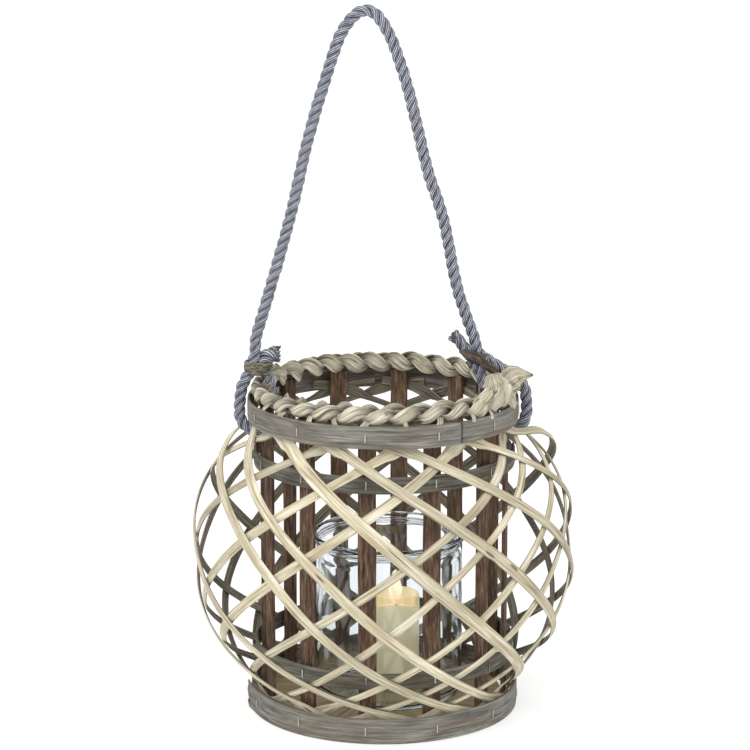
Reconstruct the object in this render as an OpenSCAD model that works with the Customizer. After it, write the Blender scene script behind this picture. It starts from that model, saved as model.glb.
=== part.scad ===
// Hurricane candle lantern: a globe of split willow on a ring of upright slats, with a rope handle
// and a loose glass jar that holds a pillar candle.
// Millimetres. Origin at the middle of the base on the ground, +Z up, the front faces -Y.
// An azimuth of 0 is the front, and azimuths grow towards +X, the right-hand side.

/* [Basket] */
// Height of the wooden basket, from the ground to the top of the rim band
basket_h = 316.3; // [305:0.5:325]
// Radius inside the two bent bands that close the weave
band_bore_r = 130.6; // [130.6:0.2:134]
// Thickness of the bent bands and hoops
band_t = 2.4; // [1.6:0.1:2.6]
// Height of the base band
base_band_h = 25.5; // [20:0.5:27]
// Height of the rim band
top_band_h = 22; // [18:0.5:24]
// Height of the two hoops behind the weave
hoop_h = 16.8; // [12:0.2:20]
// Bottom edge of the lower hoop
lower_hoop_z = 53; // [50:1:80]
// Bottom edge of the middle hoop
middle_hoop_z = 249; // [230:1:255]
// Azimuth where the outside end of the rim band is cut
top_lap_az = 32.7; // [20:1:60]
// Azimuth where the outside end of the base band is cut
base_lap_az = -82; // [-86:1:-75]
// Azimuth where the outside end of the middle hoop is cut
middle_lap_az = 95; // [60:1:130]
// Azimuth where the outside end of the lower hoop is cut
lower_lap_az = 140; // [100:1:170]

/* [Uprights] */
// Radius of the outer face of the uprights
upright_r = 124.5; // [122:0.5:124.5]
// Width of an upright
upright_w = 17; // [12:0.5:18]
// Thickness of an upright
upright_t = 5; // [4:0.5:6]

/* [Weave] */
// Largest radius of the globe
belly_r = 191; // [180:1:200]
// Height of the globe's widest circle
belly_z = 157; // [150:1:165]
// Usual width of a strip, which each strip's own share multiplies
strip_w = 11; // [8:0.5:12]
// Thickness of a strip
strip_t = 2.4; // [1.6:0.1:2.4]
// Clearance between the two layers of strips
layer_gap = 1; // [0.8:0.1:1]

/* [Braid] */
// Radius of the middle of the braid
braid_r = 121; // [119:0.5:122]
// How far a strand swings to each side of the braid
braid_swing = 8; // [7.5:0.1:8.5]
// How far a strand rises and falls
braid_lift = 4.2; // [4.2:0.1:4.5]

/* [Rope] */
// Diameter of the rope
rope_d = 12; // [10:0.5:12]
// Height of the top of the handle's centre line
handle_top_z = 696; // [640:1:740]

/* [Jar] */
// Radius of the jar's rim
jar_rim_r = 76.5; // [74:0.5:80]
// Height of the jar
jar_h = 166; // [150:1:180]
// Wall of the jar
jar_wall = 3; // [2:0.5:4]
// How far the jar stands to the right of the basket's axis
jar_x = 5; // [0:1:8]

/* [Candle] */
// Diameter of the candle
candle_d = 48; // [40:1:60]
// Height of the candle
candle_h = 96.5; // [80:0.5:120]
// How far the candle stands to the right of the basket's axis
candle_x = 12; // [5:1:15]
// Depth of the well that the flame has melted
well_depth = 19; // [8:1:22]

/* [Hidden] */
UPRIGHTS = 12;
STRIPS = 12;
pad = function (i) i < 9 ? str("0", i + 1) : str(i + 1);
upright_names = [for (i = [0 : UPRIGHTS - 1]) str("upright_", pad(i))];
outer_names = [for (i = [0 : STRIPS - 1]) str("outer_strip_", pad(i))];
inner_names = [for (i = [0 : STRIPS - 1]) str("inner_strip_", pad(i))];
braid_names = ["braid_strand_1", "braid_strand_2", "braid_strand_3"];

$fn = 96;

// Colours
chip_grey = "#7c7872";
slat_brown = "#6b4a3a";
willow_cream = "#d9cba8";
willow_shade = "#b9ab8c";
braid_beige = "#c9bfa0";
board_tan = "#a08a68";
rope_blue = "#7a7f96";
twine_brown = "#6e5c48";
staple_steel = "#b8b8b4";
glass_tint = [0.80, 0.92, 0.93, 0.4];
wax_cream = "#f0e2b4";
wick_black = "#3a322a";

// Bands and hoops
lap_gap = 0.2;
lap_turn = 45;
top_band_z = basket_h - top_band_h;
hoop_bore_r = upright_r + 0.8;

// Uprights
upright_foot_z = 1;
upright_first_az = -7.6;
upright_crown_r = 20;

// Base board
board_z = 5;
board_t = 5.5;
board_r = upright_r - upright_t - 0.5;

// Weave: the globe closes to neck_r just outside the rim band and the base band
neck_r = 130.2;
neck_round = 3;
upper_neck_z = top_band_z - 4.5;
lower_neck_z = base_band_h + 2.8;
upper_power = 3.1;
lower_power = 2.3;
strip_top_z = top_band_z + 9.7;
strip_foot_z = base_band_h - 13.5;
strip_steps = 36;
strip_cut = 0.04;
strip_crown = 1;
end_taper = 0.35;
sway_run = 0.25;
tuck_start = 0.58;
tuck_run = 0.12;
tuck_in = 0.6;
tuck_thin = 0.3;

// Each strip's path: azimuth of its top end behind the rim band, turn on its way down, how much sooner
// it turns near the top, sway of its top end, spring out from the globe under the rim band, share of width
outer_paths = [
    [-22, 200, 0.33, 0, 0, 1], [14, 185, 0.36, 0, 0, 0.95], [41, 200, 0.33, 0, 11, 0.95],
    [68, 200, 0.33, 0, 0, 1], [95, 200, 0.33, 0, 0, 1], [122, 200, 0.33, 0, 0, 1],
    [150, 209, 0.33, 0, 0, 1], [172, 229, 0.33, 0, 0, 0.95], [231, 197, 0.44, -15, 4, 1],
    [244, 210, 0.49, 0, 0, 0.95], [280, 198, 0.42, 0, 0, 1.15], [308, 199, 0.34, 0, 0, 1.05]];
inner_paths = [
    [2, -186, 0.36, 0, 0, 0.9], [35, -196, 0.33, 0, 0, 0.95], [64, -205, 0.27, 0, 0, 0.95],
    [94, -205, 0.07, 0, 0, 0.8], [115, -201, 0.34, 0, 0, 0.75], [140, -202, 0.33, 0, 0, 0.8],
    [161, -201, 0.38, 0, 0, 0.8], [191, -200, 0.33, 0, 0, 0.9], [225, -200, 0.33, 0, 0, 0.9],
    [259, -200, 0.33, 0, 0, 0.9], [291, -198, 0.33, 0, 0, 0.9], [327, -190, 0.33, 0, 0, 0.9]];

// Braid
braid_waves = 10;
braid_steps = 100;
braid_strand_w = 8.4;
braid_strand_t = 6.6;
braid_z = basket_h + braid_lift + braid_strand_t / 2 + 0.3;

// Staples
staple_h = 8;
staple_wire = 1.1;
staple_bite = 2;

// Rope
rope_r = rope_d / 2;
rope_sides = 10;
pivot_z = 374;
handle_left_x = -126;
handle_right_x = 89;
loop_under_z = top_band_z - 13.4;

// Jar and candle
stand_gap = 0.2;
jar_z = board_z + board_t + stand_gap;
jar_floor = 5;
candle_z = jar_z + jar_floor + stand_gap;
wick_r = 1.1;
wick_hole_r = 1.3;
wick_depth = 10;
wick_h = 18;

// A point at radius r, azimuth az and height z
function place(r, az, z) = [r * sin(az), -r * cos(az), z];
function unit(v) = v / norm(v);
function cubic(a, b, c, d, t) =
    0.5 * (2 * b + (c - a) * t + (2 * a - 5 * b + 4 * c - d) * t * t
           + (3 * b - a - 3 * c + d) * t * t * t);

// A smooth line through points, with steps pieces between each pair
function curve(points, steps) =
    let (last = len(points) - 1)
    concat(
        [for (i = [0 : last - 1], k = [0 : steps - 1])
            cubic(points[max(i - 1, 0)], points[i], points[i + 1], points[min(i + 2, last)], k / steps)],
        [points[last]]);

// Two triangles for each cell between ring i and ring next
function cells(i, next, n) =
    [for (j = [0 : n - 1], half = [0, 1])
        let (a = i * n + j, b = i * n + (j + 1) % n, c = next * n + j, d = next * n + (j + 1) % n)
        half == 0 ? [a, b, d] : [a, d, c]];

// A closed skin over a list of rings of points
module skin(rings) {
    n = len(rings[0]);
    m = len(rings);
    polyhedron(
        points = [for (ring = rings) each ring],
        faces = concat(
            [[for (j = [n - 1 : -1 : 0]) j], [for (j = [0 : n - 1]) (m - 1) * n + j]],
            [for (i = [0 : m - 2]) each cells(i, i + 1, n)]));
}

// The same skin with its last ring joined to its first
module hoop_skin(rings) {
    n = len(rings[0]);
    m = len(rings);
    polyhedron(
        points = [for (ring = rings) each ring],
        faces = [for (i = [0 : m - 1]) each cells(i, (i + 1) % m, n)]);
}

// A flat strip bent round more than one turn so that its ends lap
// bore_r is its radius inside, end_az the azimuth of its outside end
module bent_band(bore_r, z, h, end_az, sense) {
    steps = 96;
    turn = 360 + lap_turn;
    growth = band_t + lap_gap;
    line = [for (i = [0 : steps])
        let (s = turn * i / steps) [bore_r + growth * s / 360, end_az - sense * (turn - s)]];
    points = concat(
        [for (p = line) [p[0] * sin(p[1]), -p[0] * cos(p[1])]],
        [for (i = [steps : -1 : 0]) let (p = line[i], r = p[0] + band_t) [r * sin(p[1]), -r * cos(p[1])]]);
    translate([0, 0, z]) linear_extrude(h) polygon(points);
}

// Radius outside a bent band at an azimuth
function band_face_r(bore_r, end_az, sense, az) =
    let (back = (((end_az - az) * sense) % 360 + 360) % 360)
    bore_r + (band_t + lap_gap) * (360 + lap_turn - back) / 360 + band_t;

module base_board() {
    color(board_tan) translate([0, 0, board_z]) cylinder(r = board_r, h = board_t);
}

module base_band() {
    color(chip_grey) bent_band(band_bore_r, 0, base_band_h, base_lap_az, -1);
}

module lower_hoop() {
    color(chip_grey) bent_band(hoop_bore_r, lower_hoop_z, hoop_h, lower_lap_az, 1);
}

module middle_hoop() {
    color(chip_grey) bent_band(hoop_bore_r, middle_hoop_z, hoop_h, middle_lap_az, 1);
}

module top_band() {
    color(chip_grey) bent_band(band_bore_r, top_band_z, top_band_h, top_lap_az, 1);
}

function upright_az(i) = upright_first_az + i * 360 / UPRIGHTS;

// A split slat with a slightly crowned outer face
module upright(i) {
    h = basket_h - upright_foot_z - 1;
    color(slat_brown)
    rotate([0, 0, upright_az(i)])
    translate([0, 0, upright_foot_z])
    intersection() {
        translate([-upright_w / 2, -upright_r, 0]) cube([upright_w, upright_t, h]);
        translate([0, upright_crown_r - upright_r, 0]) cylinder(r = upright_crown_r, h = h);
    }
}

// Radius of the globe at a height, with a rounded turn into each neck
function globe_r(z) =
    let (
        t = z > belly_z ? (z - belly_z) / (upper_neck_z - belly_z) : (belly_z - z) / (belly_z - lower_neck_z),
        x = (belly_r - neck_r) * (1 - pow(t, z > belly_z ? upper_power : lower_power)))
    neck_r + (x + sqrt(x * x + neck_round * neck_round)) / 2;
function globe_slope(z) = globe_r(z + 0.5) - globe_r(z - 0.5);

// A point at a depth under the globe's surface
function under(az, z, depth) =
    let (s = globe_slope(z), k = depth / sqrt(1 + s * s))
    place(globe_r(z) - k, az, z + k * s);

function smooth_step(x) = let (t = min(1, max(0, x))) t * t * (3 - 2 * t);

// Height and azimuth of a strip's centre line, u running from 0 at the top to 1 at the foot
function strip_z(u) = (strip_top_z + strip_foot_z) / 2 + (strip_top_z - strip_foot_z) / 2 * cos(180 * u);
function strip_az(u, path) =
    path[0] + path[1] * ((1 + path[2]) * u - path[2] * (1 - cos(180 * u)) / 2)
    + path[3] * exp(-pow(u / sway_run, 4));

// How far a strip springs out from the globe where it leaves the rim band
function spring(u, path) = path[4] * smooth_step((u - 0.15) / 0.06) * (1 - smooth_step((u - 0.24) / 0.14));

// Height and azimuth of a point x to the side of the centre line, on the surface
function beside(u, path, x) =
    let (
        z = strip_z(u),
        along_z = (strip_z(u + 0.002) - strip_z(u - 0.002)) * sqrt(1 + pow(globe_slope(z), 2)),
        along_a = (strip_az(u + 0.002, path) - strip_az(u - 0.002, path)) * PI / 180 * globe_r(z),
        k = x / norm([along_z, along_a]))
    [strip_az(u, path) - k * along_z * 180 / PI / globe_r(z),
     z + k * along_a / sqrt(1 + pow(globe_slope(z), 2))];

// How far a strip is held by a band: 0 on the globe, 1 where it is tucked behind the band
function tucked(u) = min(1, max(0, (abs(2 * u - 1) - tuck_start) / tuck_run));

// One split willow strip: flat inside, crowned outside, thinner and narrower at its two tucked ends
// Layer 0 lies on the globe's surface and layer 1 lies under it
module strip(path, layer) {
    rings = [for (i = [0 : strip_steps])
        let (
            u = strip_cut + (1 - 2 * strip_cut) * i / strip_steps,
            t = strip_t * (1 - tuck_thin * tucked(u)),
            depth = tuck_in * tucked(u) + layer * (t + layer_gap) - spring(u, path),
            half = strip_w * path[5] / 2 * (1 - end_taper * pow(abs(2 * u - 1), 12)),
            left = beside(u, path, -half),
            right = beside(u, path, half),
            centre = beside(u, path, 0))
        [under(left[0], left[1], depth + strip_crown),
         under(centre[0], centre[1], depth),
         under(right[0], right[1], depth + strip_crown),
         under(right[0], right[1], depth + t),
         under(left[0], left[1], depth + t)]];
    skin(rings);
}

module outer_strip(i) {
    color(willow_cream) strip(outer_paths[i], 0);
}

module inner_strip(i) {
    color(willow_shade) strip(inner_paths[i], 1);
}

// One of three flat strands plaited round the rim
module braid_strand(i) {
    function centre(a) =
        let (p = braid_waves * a + 120 * i)
        place(braid_r + braid_swing * sin(p), a, braid_z - braid_lift * sin(2 * p));
    rings = [for (k = [0 : braid_steps - 1])
        let (
            a = 360 * k / braid_steps,
            along = unit(centre(a + 0.5) - centre(a - 0.5)),
            side = unit(cross(along, [0, 0, 1])),
            above = cross(side, along))
        [for (j = [0 : 5])
            centre(a) + braid_strand_w / 2 * cos(60 * j) * side + braid_strand_t / 2 * sin(60 * j) * above]];
    color(braid_beige) hoop_skin(rings);
}

// The flared ends of the strands, standing out at the right of the rim
module braid_tail() {
    leaf = [[0, 0], [13, 0], [22, 9], [34, 17], [26, 23], [14, 24], [3, 19]];
    color(braid_beige)
    rotate([0, 0, 68])
    translate([0, -121, basket_h + 16])
    rotate([0, -8, -42])
    rotate([90, 0, 0])
    linear_extrude(4, center = true)
    polygon(leaf);
}

// A bent-wire staple with an upright crown, standing on a band's outside face
module staple(r, az, z) {
    rotate([0, 0, az]) translate([-staple_wire / 2, -r - staple_wire, z - staple_h / 2]) {
        cube([staple_wire, staple_wire, staple_h]);
        for (leg_z = [0, staple_h - staple_wire])
            translate([0, 0, leg_z]) cube([staple_wire, staple_wire + staple_bite, staple_wire]);
    }
}

module band_staples(bore_r, end_az, sense, z) {
    color(staple_steel)
    for (i = [0 : UPRIGHTS - 1])
        staple(band_face_r(bore_r, end_az, sense, upright_az(i)), upright_az(i), z);
}

module base_staples() {
    band_staples(band_bore_r, base_lap_az, -1, base_band_h / 2);
}

module lower_staples() {
    band_staples(hoop_bore_r, lower_lap_az, 1, lower_hoop_z + hoop_h / 2);
}

module middle_staples() {
    band_staples(hoop_bore_r, middle_lap_az, 1, middle_hoop_z + hoop_h / 2);
}

module top_staples() {
    band_staples(band_bore_r, top_lap_az, 1, top_band_z + top_band_h / 2);
}

// A rope with round ends, along a smooth line through [x, z] points in the plane y = 0
module rope(points, steps) {
    line = curve(points, steps);
    last = len(line) - 1;
    function along(i) = unit(line[min(i + 1, last)] - line[max(i - 1, 0)]);
    function ring(p, d, r) =
        [for (j = [0 : rope_sides - 1])
            let (a = 360 * j / rope_sides)
            [p[0] + r * cos(a) * -d[1], r * sin(a), p[1] + r * cos(a) * d[0]]];
    round_end = [78, 52, 26];
    color(rope_blue)
    skin(concat(
        [for (a = round_end) ring(line[0] - along(0) * rope_r * sin(a), along(0), rope_r * cos(a))],
        [for (i = [0 : last]) ring(line[i], along(i), rope_r)],
        [for (a = [26, 52, 78]) ring(line[last] + along(last) * rope_r * sin(a), along(last), rope_r * cos(a))]));
}

module rope_handle() {
    rope([[handle_left_x, pivot_z], [-115, 412], [-92, 493], [-74, 570], [-58, 625], [-40, 676],
          [-18, handle_top_z], [2, 679], [22, 625], [42, 543], [58, 493], [72, 425],
          [handle_right_x, pivot_z]], 4);
}

module rope_loop_left() {
    rope([[-127, pivot_z - 14], [-131, 343], [-140, 325], [-143, 305], [-141, 290], [-131, loop_under_z],
          [-119, 286], [-114, 302], [-113, 325], [-117, 343], [-116, 353], [-104, 358]], 3);
}

module rope_loop_right() {
    rope([[93, pivot_z - 14], [103, 352], [120, 341], [137, 328], [141.5, 310], [140, 292], [130, loop_under_z],
          [117, 285], [107, 299], [101, 317], [95, 334], [85, 347], [79, 361], [73, 371], [66, 378]], 3);
}

// A flat lashing round two ropes that lie side by side
module lashing(x, z, tilt, length, h) {
    module oval(r) {
        translate([-length / 2 + 8, 0]) circle(r = r);
        translate([length / 2 - 8, 0]) circle(r = r);
        square([length - 16, 2 * r], center = true);
    }
    color(twine_brown)
    translate([x, 0, z]) rotate([0, tilt, 0])
    linear_extrude(h, center = true)
    difference() {
        oval(8);
        oval(6.2);
    }
}

module binding_left() {
    lashing(-124, 344, 6, 30, 14);
}

module binding_right() {
    lashing(97, 353, 32, 38, 12);
}

// A thick-walled jar with a rolled rim over a waisted neck
module glass_jar() {
    body_r = jar_rim_r - 2.5;
    neck_z = jar_h - 14;
    color(glass_tint)
    translate([jar_x, 0, jar_z])
    rotate_extrude()
    polygon([
        [0, 0], [body_r - 6, 0], [body_r - 2, 1.5], [body_r, 6], [body_r, neck_z - 8],
        [body_r - 2, neck_z - 2], [body_r - 2, neck_z + 2], [body_r, neck_z + 3.5],
        [body_r - 1.5, neck_z + 5.5], [jar_rim_r - 0.8, neck_z + 7], [jar_rim_r, neck_z + 9],
        [jar_rim_r, jar_h - 2.5], [jar_rim_r - 1.5, jar_h], [jar_rim_r - jar_wall, jar_h],
        [body_r - 2 - jar_wall, neck_z + 5], [body_r - 2 - jar_wall, neck_z - 2],
        [body_r - jar_wall, neck_z - 8], [body_r - jar_wall, jar_floor + 6],
        [body_r - jar_wall - 5, jar_floor], [0, jar_floor]]);
}

// A pillar of wax with a melted well and a hole for the wick
module candle_wax() {
    r = candle_d / 2;
    well_r = r - 3.2;
    well_z = candle_h - well_depth;
    color(wax_cream)
    translate([candle_x, 0, candle_z])
    rotate_extrude()
    polygon([
        [0, 0], [r - 1, 0], [r, 1], [r, candle_h - 2], [r - 1, candle_h], [r - 2.4, candle_h],
        [well_r, candle_h - 3], [well_r - 1, well_z + 1], [well_r - 4, well_z], [wick_hole_r, well_z],
        [wick_hole_r, well_z - wick_depth - stand_gap], [0, well_z - wick_depth - stand_gap]]);
}

module candle_wick() {
    color(wick_black)
    translate([candle_x, 0, candle_z + candle_h - well_depth - wick_depth])
    cylinder(r = wick_r, h = wick_h);
}

base_board();
base_band();
lower_hoop();
middle_hoop();
top_band();
for (i = [0 : UPRIGHTS - 1]) upright(i);
for (i = [0 : STRIPS - 1]) outer_strip(i);
for (i = [0 : STRIPS - 1]) inner_strip(i);
for (i = [0 : 2]) braid_strand(i);
braid_tail();
base_staples();
lower_staples();
middle_staples();
top_staples();
rope_handle();
rope_loop_left();
rope_loop_right();
binding_left();
binding_right();
glass_jar();
candle_wax();
candle_wick();
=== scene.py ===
"""Looks of a hurricane candle lantern: a globe of split willow round a ring of slats, with a rope handle.

Shapes are worked out in millimetres and turned into metres by piece(). The frame is the CAD's own: the
origin is at the middle of the base, +Z is up and the front faces -Y. An azimuth of 0 degrees is the front,
and azimuths grow towards +X.
"""

import math
from collections import namedtuple

import bmesh
import bpy
import numpy as np
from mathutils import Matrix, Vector


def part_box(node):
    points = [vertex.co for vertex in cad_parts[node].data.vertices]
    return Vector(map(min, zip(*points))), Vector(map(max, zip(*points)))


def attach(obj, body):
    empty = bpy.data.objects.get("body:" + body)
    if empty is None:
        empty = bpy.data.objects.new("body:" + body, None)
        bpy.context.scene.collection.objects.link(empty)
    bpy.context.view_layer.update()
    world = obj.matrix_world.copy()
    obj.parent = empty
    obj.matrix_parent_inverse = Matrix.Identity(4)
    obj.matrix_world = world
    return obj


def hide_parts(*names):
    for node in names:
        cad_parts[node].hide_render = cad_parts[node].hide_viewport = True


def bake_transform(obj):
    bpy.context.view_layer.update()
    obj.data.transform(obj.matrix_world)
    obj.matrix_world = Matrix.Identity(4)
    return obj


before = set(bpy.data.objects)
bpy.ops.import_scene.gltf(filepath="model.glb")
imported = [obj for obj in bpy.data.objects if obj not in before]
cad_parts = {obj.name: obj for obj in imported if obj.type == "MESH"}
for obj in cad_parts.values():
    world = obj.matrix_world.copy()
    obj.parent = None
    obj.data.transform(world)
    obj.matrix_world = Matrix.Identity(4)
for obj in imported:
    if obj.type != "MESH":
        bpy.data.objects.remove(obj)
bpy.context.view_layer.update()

MM = 0.001
SEED = 11
rng = np.random.default_rng(SEED)
UP = np.array([0, 0, 1.0])
BACK = np.array([0, 1.0, 0])

# Bands and hoops: each winds outwards by LAP_GROWTH a turn and overlaps itself by LAP_TURN degrees
BAND_T = 2.4
BAND_BORE_R = 130.6
BASE_BAND_H = 25.5
RIM_BAND_Z = 294.3
RIM_BAND_H = 22
HOOP_BORE_R = 125.3
HOOP_H = 16.8
LOWER_HOOP_Z = 53
MIDDLE_HOOP_Z = 249
LAP_GROWTH = 2.6
LAP_TURN = 45
TORN_TURN = 12
BAND_WAVE = 0.35
BAND_STEPS = 300
BAND_ROWS = 9

# Uprights
UPRIGHTS = 12
UPRIGHT_R = 124.5
UPRIGHT_W = 17
UPRIGHT_T = 5
UPRIGHT_CROWN_R = 20
UPRIGHT_FIRST_AZ = -7.6
UPRIGHT_STEPS = 40

# Globe of strips: its widest circle, and the necks where it meets the rim band and the base band
BELLY_R = 191
BELLY_Z = 157
NECK_R = 130.2
NECK_ROUND = 3
UPPER_NECK_Z = 289.8
LOWER_NECK_Z = 28.3
UPPER_POWER = 3.1
LOWER_POWER = 2.3
STRIP_TOP_Z = 304
STRIP_FOOT_Z = 12
STRIP_T = 2.4
STRIP_CUT = 0.04
STRIP_STEPS = 120
STRIP_CROWN = 1.5
END_TAPER = 0.35
SWAY_RUN = 0.25
TUCK_START = 0.58
TUCK_RUN = 0.12
TUCK_IN = 0.6
TUCK_THIN = 0.3
LAYER_GAP = 1
STRIP_W = 11

# Each strip's path: azimuth of its top end, turn on its way down, how much sooner it turns near the top,
# sway of its top end, spring out from the globe under the rim band, share of width
Path = namedtuple("Path", "top_az turn early sway out share")
OUTER_PATHS = [
    Path(-22, 200, 0.33, 0, 0, 1), Path(14, 185, 0.36, 0, 0, 0.95), Path(41, 200, 0.33, 0, 11, 0.95),
    Path(68, 200, 0.33, 0, 0, 1), Path(95, 200, 0.33, 0, 0, 1), Path(122, 200, 0.33, 0, 0, 1),
    Path(150, 209, 0.33, 0, 0, 1), Path(172, 229, 0.33, 0, 0, 0.95), Path(231, 197, 0.44, -15, 4, 1),
    Path(244, 210, 0.49, 0, 0, 0.95), Path(280, 198, 0.42, 0, 0, 1.15), Path(308, 199, 0.34, 0, 0, 1.05)]
INNER_PATHS = [
    Path(2, -186, 0.36, 0, 0, 0.9), Path(35, -196, 0.33, 0, 0, 0.95), Path(64, -205, 0.27, 0, 0, 0.95),
    Path(94, -205, 0.07, 0, 0, 0.8), Path(115, -201, 0.34, 0, 0, 0.75), Path(140, -202, 0.33, 0, 0, 0.8),
    Path(161, -201, 0.38, 0, 0, 0.8), Path(191, -200, 0.33, 0, 0, 0.9), Path(225, -200, 0.33, 0, 0, 0.9),
    Path(259, -200, 0.33, 0, 0, 0.9), Path(291, -198, 0.33, 0, 0, 0.9), Path(327, -190, 0.33, 0, 0, 0.9)]

# Braid on the rim
BRAID_R = 121
BRAID_Z = 324.1
BRAID_SWING = 8
BRAID_LIFT = 4.2
BRAID_WAVES = 10
BRAID_STEPS = 480
LEAF_HALF_W = 3.3
LEAF_HALF_T = 1.2
LEAF_GAP = 2.7
CORE_R = 123.5
CORE_Z = 319.5
CORE_HALF_W = 4.6
CORE_HALF_H = 2.6
CHIP_AZIMUTHS = [-118, -95, -62, -49, -33, -21, -8, 9, 24, 41, 52, 95, 128, 163, 201]

# Rope and knots. The cord's lines are [x, z] points in the plane of the handle
ROPE_R = 6
ROPE_STEP = 1.5
STRAND_R = 2.95
STRAND_OUT = 3.15
ROPE_LAY = 30
END_RUN = 12
YARN_W = 2.1
YARN_LEAN = 0.35
KNOT_L = 25
KNOT_DEPTH = 6.8
KNOT_HALF_T = 1.5
TAPE_W = 9.5
TAPE_T = 1.6
HANDLE = [[-126, 374], [-115, 412], [-92, 493], [-74, 570], [-58, 625], [-40, 676], [-18, 696], [2, 679],
          [22, 625], [42, 543], [58, 493], [72, 425], [89, 374]]
LEFT_LOOP = [[-127, 360], [-131, 343], [-140, 325], [-143, 305], [-141, 290], [-131, 280.9], [-119, 286],
             [-114, 302], [-113, 325], [-117, 343], [-118, 352], [-112, 357], [-106, 357.5]]
RIGHT_LOOP = [[93, 360], [103, 352], [120, 341], [137, 328], [141.5, 310], [140, 292], [130, 280.9],
              [117, 285], [107, 299], [101, 317], [97, 334], [91, 347], [83, 359], [76, 369], [69, 376.5]]

# Jar and candle
JAR_X = 5
JAR_Z = 10.7
JAR_H = 166
JAR_RIM_R = 76.5
JAR_BODY_R = 74
JAR_NECK_Z = 152
JAR_WALL = 3
JAR_FLOOR = 5
CANDLE_X = 12
CANDLE_Z = 15.9
CANDLE_H = 96.5
CANDLE_R = 24
WELL_DEPTH = 19
WELL_WALL = 3.2
THICK_FRONT = 0.46
POOL_Z = CANDLE_Z + CANDLE_H - WELL_DEPTH
FLAME_LIFT = 5
FLAME_H = 38
FLAME_R = 7.5
FLAME_POWER = 0.005

# Stage, in metres, degrees and watts. Each lamp is [name, place, power, size]
FLOOR_HALF = 12
FLOOR_DROP = 0.0005
LAMPS = [["key", (-1.3, -1.9, 2.3), 34, 1.4], ["fill", (1.8, -2.0, 1.2), 10, 1.6]]
LAMP_AIM = (0, 0, 0.2)
CAMERA_AT = (-0.0086, -2.784, 0.969)
CAMERA_DIP = 12.8
CAMERA_LENS = 138.6
CAMERA_SENSOR = 36
CAMERA_REACH = 60


# ---------------------------------------------------------------- geometry helpers

def place(r, az, z):
    """Points at radius r, azimuth az in degrees and height z."""
    a = np.radians(az)
    return np.stack(np.broadcast_arrays(r * np.sin(a), -r * np.cos(a), z), axis=-1)


def unit(v):
    """The same directions, one long."""
    return v / np.linalg.norm(v, axis=-1, keepdims=True)


def smooth_noise(count, knots, size, draw=rng, loop=False):
    """A smooth random line of count values, mostly between -size and size, with that many knots along it."""
    values = draw.uniform(-size, size, knots + 3)
    if loop:
        values[knots:] = values[:3]
    x = np.linspace(0, knots, count, endpoint=not loop)
    i = np.minimum(x.astype(int), knots - 1)
    t = x - i
    a, b, c, d = (values[i + k] for k in range(4))
    return ((1 - t) ** 3 * a + (3 * t**3 - 6 * t**2 + 4) * b
            + (-3 * t**3 + 3 * t**2 + 3 * t + 1) * c + t**3 * d) / 6 * 1.5


def curve(points, steps):
    """A Catmull-Rom line through points, with that many steps between each pair."""
    p = np.array(points, float)
    p = np.concatenate([p[:1], p, p[-1:]])
    t = np.linspace(0, 1, steps, endpoint=False)[:, None]
    line = [0.5 * (2 * b + (c - a) * t + (2 * a - 5 * b + 4 * c - d) * t**2 + (3 * b - a - 3 * c + d) * t**3)
            for a, b, c, d in zip(p[:-3], p[1:-2], p[2:-1], p[3:])]
    return np.concatenate(line + [p[-1:]])


def even(line, step):
    """The same line with its points an even step apart."""
    run = np.concatenate([[0], np.cumsum(np.linalg.norm(np.diff(line, axis=0), axis=1))])
    at = np.linspace(0, run[-1], int(run[-1] / step) + 1)
    return np.stack([np.interp(at, run, line[:, k]) for k in range(line.shape[1])], axis=1), at


def rounded(profile, radius):
    """An open outline with its inner corners rounded."""
    p = np.array(profile, float)
    out = [p[0]]
    for a, b, c in zip(p[:-2], p[1:-1], p[2:]):
        back = min(radius, np.linalg.norm(a - b) / 2.1)
        on = min(radius, np.linalg.norm(c - b) / 2.1)
        start = b + unit(a - b) * back
        end = b + unit(c - b) * on
        for t in np.linspace(0, 1, 5):
            out.append((1 - t) ** 2 * start + 2 * t * (1 - t) * b + t**2 * end)
    return np.array(out + [p[-1]])


def sheet(rings, closed=False, rows=None, tone=0.5):
    """A skin over a list of rings of points, with its grain map in millimetres.

    rows gives each column of faces the number of its material, and tone is how light its points are."""
    rings = np.asarray(rings, float)
    m, n = rings.shape[:2]
    centres = rings.mean(1)
    gaps = np.linalg.norm(np.diff(centres, axis=0, append=centres[:1]), axis=1)
    run = np.concatenate([[0], np.cumsum(gaps)])
    middle = rings[m // 2]
    girth = np.concatenate([[0], np.cumsum(np.linalg.norm(np.roll(middle, -1, 0) - middle, axis=1))])
    i, j = np.meshgrid(np.arange(m if closed else m - 1), np.arange(n), indexing="ij")
    i, j = i.ravel(), j.ravel()
    k, l = (i + 1) % m, (j + 1) % n
    faces = np.stack([i * n + j, i * n + l, k * n + l, k * n + j], axis=1).tolist()
    shift = rng.uniform(0, 500, 2)
    left, right, low, high = girth[j], girth[j + 1], run[i], run[i + 1]
    cell = np.stack([left, low, right, low, right, high, left, high], axis=1)
    uvs = (cell.reshape(-1, 2) + shift).tolist()
    numbers = [rows[c] if rows is not None else 0 for c in j]
    if not closed:
        for ring, order in ((0, range(n - 1, -1, -1)), (m - 1, range(n))):
            faces.append([ring * n + c for c in order])
            flat = rings[ring] - centres[ring]
            uvs += [(shift[0] + flat[c] @ [1, 0.3, 0], shift[1] + flat[c] @ [0, 0.3, 1]) for c in order]
            numbers.append(rows[-1] if rows is not None else 0)
    return rings.reshape(-1, 3), faces, uvs, numbers, np.broadcast_to(tone, (m, n)).ravel()


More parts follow.
